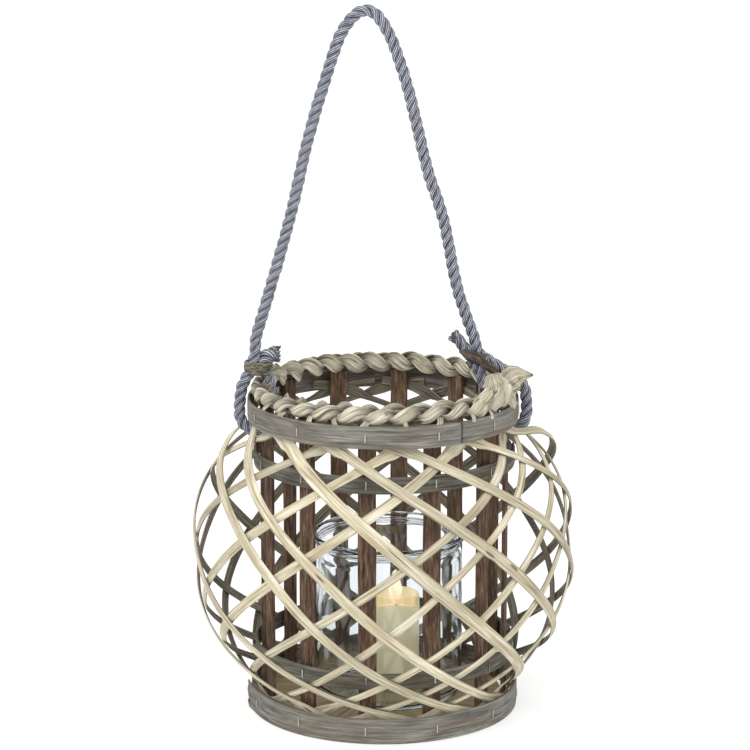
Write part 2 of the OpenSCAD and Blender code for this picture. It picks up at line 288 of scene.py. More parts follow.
def piece(name, sheets, materials, body, slot, *nodes, sharp=50):
    """One visible piece made of sheets, riding on a CAD body and standing for CAD nodes."""
    points, faces, uvs, numbers, tones = [], [], [], [], []
    for p, f, uv, number, tone in sheets:
        start = len(points)
        points += p.tolist()
        faces += [[v + start for v in face] for face in f]
        uvs += uv
        numbers += number
        tones += tone.tolist()
    mesh = bpy.data.meshes.new(name)
    mesh.from_pydata((np.array(points) * MM).tolist(), [], faces)
    layer = mesh.uv_layers.new(name="grain")
    layer.data.foreach_set("uv", (np.array(uvs) * MM).ravel().astype(np.float32))
    attribute = mesh.attributes.new("tone", "FLOAT", "POINT")
    attribute.data.foreach_set("value", np.array(tones, np.float32))
    for material in materials:
        mesh.materials.append(material)
    mesh.polygons.foreach_set("material_index", numbers)
    work = bmesh.new()
    work.from_mesh(mesh)
    bmesh.ops.recalc_face_normals(work, faces=work.faces)
    work.to_mesh(mesh)
    work.free()
    mesh.polygons.foreach_set("use_smooth", [True] * len(mesh.polygons))
    mesh.set_sharp_from_angle(angle=math.radians(sharp))
    obj = bpy.data.objects.new(name, mesh)
    bpy.context.scene.collection.objects.link(obj)
    if body:
        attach(obj, body)
    if nodes:
        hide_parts(*nodes)
    return obj


def lathe(profile, x, foot_z, steps):
    """A sheet turned round an upright axis from an outline of [radius, height] points."""
    a = np.linspace(0, 360, steps, endpoint=False)
    return sheet([place(max(r, 0.3), a, z) + [x, 0, foot_z] for r, z in profile])


def tube(line, radius, sides=6):
    """Rings of a thin round thread along a line. The radius may change along it."""
    along = unit(np.gradient(line, axis=0))
    side = unit(np.cross(along, [0.21, 0.35, 0.91]))
    above = np.cross(side, along)
    a = np.linspace(0, 2 * np.pi, sides, endpoint=False)[None, :, None]
    r = np.broadcast_to(radius, len(line))[:, None, None]
    return line[:, None, :] + r * (np.cos(a) * side[:, None, :] + np.sin(a) * above[:, None, :])


def ribbon(line, facing, widths, thickness, fold, ridges=0.0):
    """Rings of a flat leaf along a line. facing is the way its face looks, and fold creases it lengthwise."""
    along = unit(np.gradient(line, axis=0))
    side = unit(np.cross(along, facing))
    above = np.cross(side, along)
    x = np.linspace(-1, 1, 9)
    across = np.concatenate([x, x[::-1]])
    lift = fold * (1 - np.abs(across)) + ridges * np.cos(across * 9)
    face = np.concatenate([np.full(9, 0.5), np.full(9, -0.5)]) * (1 - 0.7 * across**6)
    w = np.asarray(widths)[:, None, None] / 2
    bend = lift[None, :, None] * w + face[None, :, None] * thickness
    return line[:, None, :] + w * across[None, :, None] * side[:, None, :] + bend * above[:, None, :]


# ---------------------------------------------------------------- material helpers

def colour(code):
    """A linear colour from an sRGB code such as "d9cba8"."""
    c = np.array([int(code[k:k + 2], 16) / 255 for k in (0, 2, 4)])
    c = np.where(c <= 0.04045, c / 12.92, ((c + 0.055) / 1.055) ** 2.4)
    return (*c, 1.0)


def new_material(name):
    """A material with an empty node tree."""
    material = bpy.data.materials.new(name)
    material.use_nodes = True
    material.node_tree.nodes.clear()
    return material, material.node_tree


def node(tree, kind, inputs=(), **settings):
    """A node with its settings, and its inputs set to values or joined to sockets."""
    made = tree.nodes.new("ShaderNode" + kind)
    for key, value in settings.items():
        setattr(made, key, value)
    for key, value in dict(inputs).items():
        if isinstance(value, bpy.types.NodeSocket):
            tree.links.new(value, made.inputs[key])
        else:
            made.inputs[key].default_value = value
    return made


def maths(tree, operation, *values):
    """The result of one Math node on numbers or sockets."""
    return node(tree, "Math", dict(enumerate(values)), operation=operation).outputs[0]


def mix(tree, share, a, b, blend="MIX"):
    """Colour a turning into colour b by share."""
    made = node(tree, "Mix", {0: share, 6: a, 7: b}, data_type="RGBA", blend_type=blend)
    return made.outputs[2]


def ramp(tree, value, *stops):
    """A colour for a value between 0 and 1, from stops of (place, colour code)."""
    made = node(tree, "ValToRGB", {"Fac": value})
    elements = made.color_ramp.elements
    while len(elements) < len(stops):
        elements.new(0.5)
    for element, (at, code) in zip(elements, stops):
        element.position = at
        element.color = colour(code)
    return made.outputs["Color"]


def between(tree, value, low, high):
    """0 below low, 1 above high, and smooth between them."""
    made = node(tree, "MapRange", {"Value": value, "From Min": low, "From Max": high},
                interpolation_type="SMOOTHSTEP")
    return made.outputs["Result"]


def grain_vector(tree, across, along):
    """The grain map scaled to cells across and along a piece, per metre."""
    uv = node(tree, "UVMap", uv_map="grain")
    return node(tree, "Mapping", {"Vector": uv.outputs["UV"], "Scale": (across, along, 1)}).outputs["Vector"]


def streaks(tree, across, along, detail, roughness=0.6, distortion=0.0):
    """Noise stretched along a piece."""
    vector = grain_vector(tree, across, along)
    made = node(tree, "TexNoise", {"Vector": vector, "Scale": 1.0, "Detail": detail, "Roughness": roughness,
                                   "Distortion": distortion})
    return made.outputs["Fac"]


def surface(tree, base, roughness, height, depth, **extra):
    """A Principled shader with a bump depth millimetres high, joined to the material's output."""
    bump = node(tree, "Bump", {"Height": height, "Strength": 1.0, "Distance": depth * MM})
    inputs = {"Base Color": base, "Roughness": roughness, "Normal": bump.outputs["Normal"]}
    for key, value in extra.items():
        inputs[key.replace("_", " ")] = value
    shader = node(tree, "BsdfPrincipled", inputs)
    node(tree, "OutputMaterial", {"Surface": shader.outputs["BSDF"]})


def two_shaders(tree, share, first, second):
    """Joins a mix of two shaders, the second by share, to the material's output."""
    both = node(tree, "MixShader", {0: share, 1: first.outputs[0], 2: second.outputs[0]})
    node(tree, "OutputMaterial", {"Surface": both.outputs[0]})


def overlay(tree, base, share, strength, code):
    """The base colour with another laid over it, as strongly as share times strength."""
    return mix(tree, maths(tree, "MULTIPLY", share, strength), base, colour(code))


def rest_point(tree):
    """The shaded point in metres, as X, Y and Z sockets, before its body moves."""
    return node(tree, "SeparateXYZ", {"Vector": node(tree, "TexCoord").outputs["Object"]}).outputs


def tinted(tree, base, low, high):
    """A colour darkened or lightened by the tone of the sheet it is on, which holds random differences and on
    many pieces painted shade.
    """
    tone = node(tree, "Attribute", attribute_name="tone").outputs["Fac"]
    shade = maths(tree, "MULTIPLY_ADD", tone, high - low, low)
    grey = node(tree, "CombineColor", {"Red": shade, "Green": shade, "Blue": shade})
    return mix(tree, 1.0, base, grey.outputs["Color"], blend="MULTIPLY")


# ---------------------------------------------------------------- materials

def willow_material(name, stops, patch, knot):
    """Split willow: fine streaks along it, weathered patches, thin cracks and small dark knots."""
    material, tree = new_material(name)
    fine = streaks(tree, 400, 15, detail=5, roughness=0.68)
    base = ramp(tree, fine, *stops)
    wide = streaks(tree, 130, 14, detail=4)
    base = overlay(tree, base, between(tree, wide, 0.5, 0.66), 0.55, patch)
    # The tone holds random differences between and along the strips, and painted shade towards the edges of
    # their faces.
    base = tinted(tree, base, 0.78, 1.04)
    crack = between(tree, streaks(tree, 360, 9, detail=2), 0.65, 0.7)
    base = overlay(tree, base, crack, 0.7, knot)
    cells = node(tree, "TexVoronoi", {"Vector": grain_vector(tree, 60, 13), "Scale": 1.0, "Randomness": 1.0})
    far = cells.outputs["Distance"]
    spot = maths(tree, "SUBTRACT", 1.0, between(tree, far, 0.05, 0.11))
    base = overlay(tree, base, spot, 0.8, knot)
    height = maths(tree, "SUBTRACT", fine, maths(tree, "ADD", crack, spot))
    surface(tree, base, 0.62, height, 0.35, Specular_IOR_Level=0.35)
    return material


def chip_material(name, stops, warm_tint):
    """Grey weathered chip wood with a grain along the band and soft stains."""
    material, tree = new_material(name)
    fine = streaks(tree, 380, 18, detail=6, roughness=0.7)
    base = ramp(tree, fine, *stops)
    warm = between(tree, streaks(tree, 55, 9, detail=3), 0.46, 0.62)
    base = overlay(tree, base, warm, 0.55, warm_tint)
    stain = between(tree, streaks(tree, 110, 26, detail=4), 0.52, 0.66)
    base = overlay(tree, base, stain, 0.4, "4c4a44")
    dark = between(tree, streaks(tree, 330, 6, detail=2), 0.63, 0.69)
    base = overlay(tree, base, dark, 0.25, "3f3c37")
    # The tone darkens the band as a painted shadow on the layer just under the outer end of its lap.
    base = tinted(tree, base, 0.2, 1.0)
    height = maths(tree, "SUBTRACT", fine, maths(tree, "MULTIPLY", dark, 0.6))
    surface(tree, base, 0.7, height, 0.3, Specular_IOR_Level=0.3)
    return material


def bark_material():
    """Reddish brown slats with bark fibres down their faces."""
    material, tree = new_material("slat_bark")
    fine = streaks(tree, 330, 34, detail=6, roughness=0.74, distortion=0.3)
    base = ramp(tree, fine, (0.34, "31261d"), (0.45, "533f31"), (0.54, "6f5745"), (0.66, "967c66"))
    grey = between(tree, streaks(tree, 90, 8, detail=3), 0.5, 0.7)
    base = overlay(tree, base, grey, 0.5, "4f463b")
    surface(tree, base, 0.78, fine, 0.7, Specular_IOR_Level=0.25)
    return material


def board_material():
    """Plain pale board, greyed by use."""
    material, tree = new_material("board_wood")
    fine = streaks(tree, 260, 12, detail=5)
    base = ramp(tree, fine, (0.3, "6f604b"), (0.55, "978565"), (0.8, "b5a483"))
    surface(tree, base, 0.75, fine, 0.3)
    return material


def braid_material():
    """Dry sedge leaves: pale straw with fibres and creases, darkened by the tone of each sheet as painted
    shade.
    """
    material, tree = new_material("braid_leaf")
    fine = streaks(tree, 620, 22, detail=5, roughness=0.7)
    base = ramp(tree, fine, (0.34, "665e4e"), (0.44, "a39b85"), (0.53, "c5beaa"), (0.66, "e6e0d2"))
    patch = between(tree, streaks(tree, 120, 30, detail=3), 0.5, 0.66)
    base = overlay(tree, base, patch, 0.5, "a3967a")
    crease = between(tree, streaks(tree, 300, 14, detail=2), 0.61, 0.67)
    base = overlay(tree, base, crease, 0.75, "463f31")
    # The tone holds random differences between leaves, and painted shade where the strands dip under each
    # other and on the core under the plait.
    base = tinted(tree, base, 0.22, 1.04)
    height = maths(tree, "SUBTRACT", fine, crease)
    surface(tree, base, 0.66, height, 0.6, Specular_IOR_Level=0.3)
    return material


def rope_material():
    """Silky blue-grey cord with yarn stripes lit by painted highlights on their crests, and painted shade in
    the grooves between its strands.
    """
    material, tree = new_material("rope_silk")
    split = node(tree, "SeparateXYZ", {"Vector": grain_vector(tree, 1, 1)})
    lean = maths(tree, "MULTIPLY_ADD", split.outputs["Y"], YARN_LEAN, split.outputs["X"])
    yarn = maths(tree, "SINE", maths(tree, "MULTIPLY", lean, 2 * math.pi / (YARN_W * MM)))
    yarn = maths(tree, "MULTIPLY_ADD", yarn, 0.5, 0.5)
    fine = streaks(tree, 900, 120, detail=4, roughness=0.7)
    height = maths(tree, "ADD", maths(tree, "MULTIPLY", yarn, 0.45), fine)
    share = maths(tree, "MULTIPLY", height, 0.85)
    # The yarn stripes are partly the cord's own pattern and partly painted light: dark between the yarns as
    # painted shade, near white on their crests as painted highlights.
    base = ramp(tree, share, (0.3, "292b36"), (0.5, "444856"), (0.66, "676c7a"), (0.85, "cbced8"))
    # The tone paints shade in the grooves between the strands.
    base = tinted(tree, base, 0.1, 1.06)
    surface(tree, base, 0.36, height, 0.5, Specular_IOR_Level=0.6, Sheen_Weight=0.2, Sheen_Roughness=0.4)
    return material


def twine_material(name, across, along, stops):
    """Rough twine or tape, blotched across and along."""
    material, tree = new_material(name)
    fine = streaks(tree, across, along, detail=5, roughness=0.7)
    base = ramp(tree, fine, *stops)
    surface(tree, base, 0.75, fine, 0.9)
    return material


def steel_material():
    """Bright wire with a little rust."""
    material, tree = new_material("staple_steel")
    noise = node(tree, "TexNoise", {"Scale": 90.0, "Detail": 3.0}).outputs["Fac"]
    base = ramp(tree, noise, (0.4, "d4d4d0"), (0.62, "9b9890"), (0.72, "5a4a3c"))
    surface(tree, base, 0.28, noise, 0.05, Metallic=1.0)
    return material


def glass_material():
    """Clear, faintly blue glass that lets the light through to what it holds."""
    material, tree = new_material("jar_glass")
    noise = node(tree, "TexNoise", {"Scale": 11.0, "Detail": 0.0}).outputs["Fac"]
    bump = node(tree, "Bump", {"Height": noise, "Strength": 0.12, "Distance": 0.6 * MM})
    glass = node(tree, "BsdfGlass", {"Color": (0.955, 0.975, 0.985, 1), "Roughness": 0.03, "IOR": 1.47,
                                     "Normal": bump.outputs["Normal"]})
    clear = node(tree, "BsdfTransparent", {"Color": (0.95, 0.975, 0.975, 1)})
    path = node(tree, "LightPath")
    unseen = maths(tree, "MAXIMUM", path.outputs["Is Shadow Ray"], path.outputs["Is Diffuse Ray"])
    two_shaders(tree, unseen, glass, clear)
    return material


def wax_material():
    """Ivory wax: solid below the pool, and a thin wall above it that glows by emission, as painted light from
    the flame.

    The wall is shaded as if it were thicker at the front, so it looks solid further up there."""
    material, tree = new_material("wax")
    pool_z = POOL_Z * MM
    point = rest_point(tree)
    front = maths(tree, "MAXIMUM", maths(tree, "MULTIPLY", point["Y"], -1), 0)
    level = maths(tree, "SUBTRACT", point["Z"], maths(tree, "MULTIPLY", front, THICK_FRONT))
    wall = between(tree, level, pool_z + 0.6 * MM, pool_z + 2 * MM)
    cloud = node(tree, "TexNoise", {"Scale": 40.0, "Detail": 3.0}).outputs["Fac"]
    # Painted light and shade: the wax is darker at its foot and lighter up towards the pool, under the flame.
    base = mix(tree, between(tree, point["Z"], 20 * MM, pool_z), colour("d6c79c"), colour("f8edce"))
    base = overlay(tree, base, between(tree, cloud, 0.45, 0.7), 0.15, "efe6c8")
    base = mix(tree, wall, base, colour("eadfc0"))
    bump = node(tree, "Bump", {"Height": cloud, "Strength": 0.6, "Distance": 0.5 * MM})
    # The emission is painted light: a faint glow over the whole body that lifts its shade, stronger on the
    # wall for the flame shining through it.
    shader = node(tree, "BsdfPrincipled", {
        "Base Color": base, "Roughness": 0.42, "Normal": bump.outputs["Normal"],
        "Subsurface Weight": maths(tree, "MULTIPLY_ADD", wall, -0.45, 0.5),
        "Subsurface Radius": (1.0, 0.8, 0.5), "Subsurface Scale": 9 * MM, "Emission Color": colour("ecdfb8"),
        "Emission Strength": maths(tree, "MULTIPLY_ADD", wall, 0.1, 0.15)})
    clear = node(tree, "BsdfTransparent", {"Color": colour("fffcf6")})
    thin = maths(tree, "MULTIPLY_ADD", between(tree, front, 0, 15 * MM), 0.64, 0.24)
    two_shaders(tree, maths(tree, "MULTIPLY", wall, thin), shader, clear)
    return material


def wick_material():
    """Charred cotton."""
    material, tree = new_material("wick")
    noise = node(tree, "TexNoise", {"Scale": 900.0, "Detail": 3.0}).outputs["Fac"]
    base = ramp(tree, noise, (0.35, "14100d"), (0.7, "4a3c30"))
    surface(tree, base, 0.9, noise, 0.3)
    return material


def flame_material(foot_z):
    """A soft flame: peach at its foot, pale yellow above, and clear towards its edges."""
    material, tree = new_material("flame")
    rise = node(tree, "MapRange", {"Value": rest_point(tree)["Z"], "From Min": foot_z * MM,
                                   "From Max": (foot_z + FLAME_H) * MM}).outputs["Result"]
    base = ramp(tree, rise, (0.0, "f9c98f"), (0.25, "ffdfae"), (0.6, "fff4cf"), (1.0, "ffe6ae"))
    glow = node(tree, "Emission", {"Color": base, "Strength": 1.15})
    clear = node(tree, "BsdfTransparent")
    facing = node(tree, "LayerWeight", {"Blend": 0.5}).outputs["Facing"]
    seen = between(tree, maths(tree, "SUBTRACT", 1.0, facing), 0.05, 0.75)
    two_shaders(tree, seen, clear, glow)
    return material


def floor_material():
    """White floor that glows a little, so that its shadows are faint."""
    material, tree = new_material("floor_white")
    noise = node(tree, "TexNoise", {"Scale": 3.0, "Detail": 2.0}).outputs["Fac"]
    base = ramp(tree, noise, (0.3, "b4b4b4"), (0.7, "b8b8b8"))
    surface(tree, base, 0.8, noise, 0.0, Specular_IOR_Level=0.1, Emission_Color=(1, 1, 1, 1),
            Emission_Strength=0.6)
    return material


# ---------------------------------------------------------------- basket

def bent_band(name, bore_r, z, h, end_az, sense, material, cad_node, tear, lift=0.0):
    """A flat strip of chip wood bent round more than one turn, with a torn outside end.

    tear is how far the end is ragged, in degrees, and lift is how far it springs off the band."""
    turn = 360 + LAP_TURN
    s = np.linspace(0, turn, BAND_STEPS + 1)
    end = np.clip((s - (turn - TORN_TURN)) / TORN_TURN, 0, 1)
    row = np.linspace(0, 1, BAND_ROWS)
    ragged = rng.uniform(-1, 0.6, BAND_ROWS) * tear
    low = smooth_noise(len(s), 24, BAND_WAVE)
    high = smooth_noise(len(s), 24, BAND_WAVE)
    # The layer just under the outer end gets a dark tone, a painted shadow of the end's step.
    lap_shadow = np.abs(s - LAP_TURN - 0.5) < turn / BAND_STEPS
    edge = 0.45 * np.abs(2 * row - 1) ** 8
    rings = []
    for k in range(len(s)):
        az = end_az - sense * (turn - s[k]) + sense * ragged * end[k] ** 2
        height = z + 0.2 + low[k] * 0.5 + row * (h - 0.4 + high[k] * 0.5)
        inside = bore_r + LAP_GROWTH * s[k] / 360 + lift * end[k] ** 2
        outer = place(inside + BAND_T - edge, az, height)
        inner = place(inside + edge, az[::-1], height[::-1])
        rings.append(np.concatenate([outer, inner]))
    piece(name, [sheet(rings, tone=1 - 0.9 * lap_shadow[:, None])], [material], "basket", "chip_wood",
          cad_node, sharp=45)


def board():
    """The round board that the jar stands on, with softened edges."""
    low, high = (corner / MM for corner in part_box("base_board"))
    profile = [[0, low.z], [high.x - 1, low.z], [high.x, low.z + 1], [high.x, high.z - 1],
               [high.x - 1, high.z], [0, high.z]]
    piece("board", [lathe(rounded(profile, 0.8), 0, 0, 128)], [BOARD], "basket", "board_wood", "base_board")


def upright(i, z0, z1):
    """A split slat with a crowned bark face and uneven edges."""
    az = math.radians(UPRIGHT_FIRST_AZ + i * 360 / UPRIGHTS)
    x = np.linspace(-UPRIGHT_W / 2, UPRIGHT_W / 2, 9)
    crown = UPRIGHT_R - UPRIGHT_CROWN_R + np.sqrt(UPRIGHT_CROWN_R**2 - x**2)
    back = np.full(3, UPRIGHT_R - UPRIGHT_T)
    outline_x = np.concatenate([x, x[[8, 4, 0]] * 0.97])
    outline_r = np.concatenate([crown, back]) - 0.15
    edge = UPRIGHT_W / 2 - 2.5
    heights = np.linspace(z0, z1, UPRIGHT_STEPS)
    left = smooth_noise(UPRIGHT_STEPS, 12, 0.35)
    right = smooth_noise(UPRIGHT_STEPS, 12, 0.35)
    rings = []
    for z, a, b in zip(heights, left, right):
        across = outline_x + (a - 0.4) * (outline_x < -edge) + (b + 0.4) * (outline_x > edge)
        rings.append(np.stack([across * math.cos(az) + outline_r * math.sin(az),
                               across * math.sin(az) - outline_r * math.cos(az), np.full(len(across), z)], 1))
    piece(f"slat_{i + 1:02d}", [sheet(rings, tone=rng.uniform())], [BARK], "basket", "slat_wood",
          f"upright_{i + 1:02d}")


def globe_r(z):
    """Radius of the globe at a height, with a rounded turn into each neck."""
    above = z > BELLY_Z
    t = np.where(above, (z - BELLY_Z) / (UPPER_NECK_Z - BELLY_Z), (BELLY_Z - z) / (BELLY_Z - LOWER_NECK_Z))
    x = (BELLY_R - NECK_R) * (1 - np.abs(t) ** np.where(above, UPPER_POWER, LOWER_POWER))
    return NECK_R + (x + np.sqrt(x * x + NECK_ROUND**2)) / 2


def globe_slope(z):
    """How fast the radius grows with height."""
    return globe_r(z + 0.5) - globe_r(z - 0.5)


def under(az, z, depth):
    """Points at a depth under the globe's surface."""
    s = globe_slope(z)
    k = depth / np.sqrt(1 + s * s)
    return place(globe_r(z) - k, az, z + k * s)


def strip_z(u):
    """Height a share u of the way from a strip's top end to its foot."""
    return (STRIP_TOP_Z + STRIP_FOOT_Z) / 2 + (STRIP_TOP_Z - STRIP_FOOT_Z) / 2 * np.cos(np.pi * u)


def smooth_step(x):
    """0 below 0, 1 above 1, and smooth between them."""
    t = np.clip(x, 0, 1)
    return t * t * (3 - 2 * t)


def strip_az(u, path):
    """Azimuth a share u of the way down a strip."""
    turned = (1 + path.early) * u - path.early * (1 - np.cos(np.pi * u)) / 2
    return path.top_az + path.turn * turned + path.sway * np.exp(-(u / SWAY_RUN) ** 4)


def spring(u, path):
    """How far a strip springs out from the globe where it leaves the rim band."""
    return path.out * smooth_step((u - 0.15) / 0.06) * (1 - smooth_step((u - 0.24) / 0.14))


def beside(u, path, x):
    """Azimuth and height of points x to the side of a strip's centre line."""
    z = strip_z(u)
    stretch = np.sqrt(1 + globe_slope(z) ** 2)
    along_z = (strip_z(u + 0.002) - strip_z(u - 0.002)) * stretch
    along_a = np.radians(strip_az(u + 0.002, path) - strip_az(u - 0.002, path)) * globe_r(z)
    k = x / np.hypot(along_z, along_a)
    return strip_az(u, path) - np.degrees(k * along_z / globe_r(z)), z + k * along_a / stretch


def strip(name, path, layer, slot, cad_node):
    """A split willow strip: crowned and cream outside, flat inside with a darker copy of the willow as
    painted shade, and tucked in at its ends.
    """
    u = np.linspace(STRIP_CUT, 1 - STRIP_CUT, STRIP_STEPS + 1)
    held = np.clip((np.abs(2 * u - 1) - TUCK_START) / TUCK_RUN, 0, 1)
    t = STRIP_T * (1 - TUCK_THIN * held)
    crown = STRIP_CROWN * (1 - 0.5 * held)
    sway = smooth_noise(len(u), 9, 1.0) * (1 - held)
    half = STRIP_W * path.share / 2 * (1 - END_TAPER * np.abs(2 * u - 1) ** 12)
    half = half * (1 + smooth_noise(len(u), 14, 0.07) * (1 - held))
    depth = TUCK_IN * held + layer * (t + LAYER_GAP) - spring(u, path)
    face = np.linspace(-1, 1, 11)
    back = np.array([0.93, 0.4, -0.4, -0.93])
    columns = [(x, crown * abs(x) ** 2.3) for x in face] + [(x, t) for x in back]
    rings = []
    for x, below in columns:
        az, z = beside(u, path, half * x + sway)
        rings.append(under(az, z, depth + below))
    rings = np.stack(rings, axis=1)
    rows = [0] * 10 + [1] * 5
    # Each strip's tone differs at random and along it, and is darker towards the edges of its face as painted
    # shade.
    edge_shade = np.concatenate([face**8, np.zeros(4)])
    tone = rng.uniform(0.3, 1) + smooth_noise(len(u), 12, 0.35)[:, None] - 0.8 * edge_shade[None, :]
    piece(name, [sheet(rings, rows=rows, tone=tone)], [WILLOW, WILLOW_BACK_SHADED], "basket", slot, cad_node,
          sharp=55)


def braid_centre(a, i):
    """Middle of strand i at azimuth a: in and out once a wave, and up and down twice."""
    p = np.radians(BRAID_WAVES * a + 120 * i)
    return place(BRAID_R + BRAID_SWING * np.sin(p), a, BRAID_Z - BRAID_LIFT * np.sin(2 * p))


def braid_core():
    """Leaf ends laid along the rim under the plait, darkened by their tone as painted shade between its
    strands.
    """
    steps = BRAID_STEPS
    a = np.linspace(0, 360, steps, endpoint=False)
    q = np.radians(np.arange(0, 360, 30))
    half_w = CORE_HALF_W + smooth_noise(steps, 90, 0.9, loop=True)[:, None]
    half_h = CORE_HALF_H + smooth_noise(steps, 110, 0.5, loop=True)[:, None]
    rings = place(CORE_R + half_w * np.cos(q), a[:, None], CORE_Z + half_h * np.sin(q))
    # A tone of 0 paints the whole core in shade.
    piece("braid_core", [sheet(rings, closed=True, tone=0.0)], [BRAID], "basket", "braid", sharp=40)


def leaf_section(half_w):
    """Points across and through a flat leaf with a crease along its middle, for every step along it."""
    x = np.linspace(-1, 1, 7)
    across = np.concatenate([x, x[::-1]])
    through = np.concatenate([np.ones(7), -np.ones(7)]) * (1 - 0.75 * across**6)
    crease = 0.3 * (1 - np.abs(across))
    return half_w[:, None] * across, LEAF_HALF_T * through + half_w[:, None] * crease


def braid_strand(i):
    """One of the three strands plaited round the rim: flat leaves, widest where they lie on the outside."""
    steps = BRAID_STEPS
    a = np.linspace(0, 360, steps, endpoint=False)
    centre = braid_centre(a, i)
    along = unit(braid_centre(a + 0.4, i) - braid_centre(a - 0.4, i))
    side = unit(np.cross(along, UP))
    above = np.cross(side, along)
    p = np.radians(BRAID_WAVES * a + 120 * i)
    face = np.pi / 2 + 0.6 * np.cos(p)
    open_out = 1 - 0.28 * np.cos(2 * p)
    sheets = []
    for k in (-1, 0, 1):
        turn = face + 0.2 * k + smooth_noise(steps, 50, 0.35, loop=True)
        wide = np.cos(turn)[:, None] * side - np.sin(turn)[:, None] * above
        out = np.cos(turn)[:, None] * above + np.sin(turn)[:, None] * side
        half_w = LEAF_HALF_W * open_out * (1 + smooth_noise(steps, 60, 0.2, loop=True))
        half_w = half_w + smooth_noise(steps, 170, 0.3, loop=True)
        x, y = leaf_section(half_w)
        x = x + (LEAF_GAP * k * open_out + smooth_noise(steps, 40, 0.9, loop=True))[:, None]
        y = y + smooth_noise(steps, 45, 0.7, loop=True)[:, None]
        rings = centre[:, None, :] + x[:, :, None] * wide[:, None, :] + y[:, :, None] * out[:, None, :]
        # The tone darkens each leaf where its strand dips under the others, as painted shade, and differs at
        # random between leaves.
        tone = rng.uniform(0.4, 0.75) - 0.48 * np.cos(2 * p) + smooth_noise(steps, 60, 0.2, loop=True)
        sheets.append(sheet(rings, closed=True, tone=np.clip(tone, 0, 1)[:, None]))
    piece(f"braid_leaf_{i + 1}", sheets, [BRAID], "basket", "braid", f"braid_strand_{i + 1}", sharp=35)


def leaf(seed, az, points, width, facing, fold=0.25, tip=0.8, crumple=0.5):
    """One dry leaf. Its points are [out, up, along] from the middle of the braid at azimuth az.

    tip is where along it the leaf starts to narrow, and crumple is how far its face ripples."""
    a = math.radians(az)
    out = np.array([math.sin(a), -math.cos(a), 0])
    on = np.array([math.cos(a), math.sin(a), 0])
    base = place(BRAID_R, az, BRAID_Z)
    line = curve([base + p[0] * out + p[1] * UP + p[2] * on for p in points], 8)
    t = np.linspace(0, 1, len(line))
    draw = np.random.default_rng(seed)
    widths = width * (0.55 + 0.45 * np.sin(np.pi * np.clip(t * 1.1, 0, 1)) ** 0.7)
    widths = widths * (1 + smooth_noise(len(line), 13, 0.13, draw))
    widths = widths * (1 - 0.9 * np.clip((t - tip) / (1 - tip), 0, 1) ** 1.3)
    look = facing[0] * out + facing[1] * UP + facing[2] * on
    rings = ribbon(line, look, widths, 1.1, fold=fold, ridges=0.06)
    for _ in range(3):
        ripple = smooth_noise(9, 6, crumple, draw)
        both_faces = np.concatenate([ripple, ripple[::-1]])
        rings = rings + (smooth_noise(len(line), 12, 1.0, draw)[:, None] * both_faces)[:, :, None] * look
    return sheet(rings, tone=draw.uniform(0.85, 1.1))


def braid_ends():
    """The strands' loose ends at the right of the rim, flared like a fan."""
    leaves = [
        leaf(1, 50, [[2, 2, -12], [6, 7, -3], [5, 12, 7], [0, 14, 17]], 12, [0.9, 0.6, -0.2]),
        leaf(2, 59, [[7, -4, -12], [10, 2, -4], [9, 8, 5], [5, 13, 14], [-1, 15, 20]], 14, [1, 0.4, 0]),
        leaf(3, 66, [[6, -3, -10], [10, 3, -4], [10, 8, 4], [8, 13, 12]], 15, [1, 0.3, -0.3]),
        leaf(4, 79, [[-2, 5, -6], [6, 13, -5], [14, 18, -3], [28, 19, 0]], 26, [0.1, 0.1, -1],
             fold=0.1, tip=0.5, crumple=2.2),
        leaf(5, 63, [[4, -3, -4], [4, 8, -5], [2, 18, -5], [-1, 27, -5]], 25, [0.45, 0.25, -0.9],
             fold=0.1, tip=0.93, crumple=2.4),
        leaf(6, 70, [[6, 3, -4], [11, 0, -2], [13, -5, 0], [14, -11, 1]], 14, [1, 0.2, -0.4]),
    ]
    piece("braid_fan", leaves, [BRAID], "basket", "braid", "braid_tail", sharp=60)


def braid_chips():
    """Short cut leaf ends that poke out under the braid."""
    chips = []
    for az in CHIP_AZIMUTHS:
        lean = rng.uniform(-6, 6)
        line = curve([place(BRAID_R + 5, az - lean / 4, BRAID_Z - 3), place(BRAID_R + 10.5, az, BRAID_Z - 7),
                      place(BRAID_R + 12.5, az + lean / 4, BRAID_Z - 10 - rng.uniform(0, 3))], 4)
        widths = np.full(len(line), rng.uniform(4.5, 7))
        rings = ribbon(line, place(1, az, 0.3), widths, 0.9, fold=0.15)
        chips.append(sheet(rings, tone=rng.uniform(0.6, 1)))
    piece("braid_chips", chips, [BRAID], "basket", "braid", sharp=40)


# ---------------------------------------------------------------- rope

def near_end(run):
    """1 at a cut end of the cord, fading to 0 a little way along it."""
    return np.clip(1.6 - run / END_RUN, 0, 1)


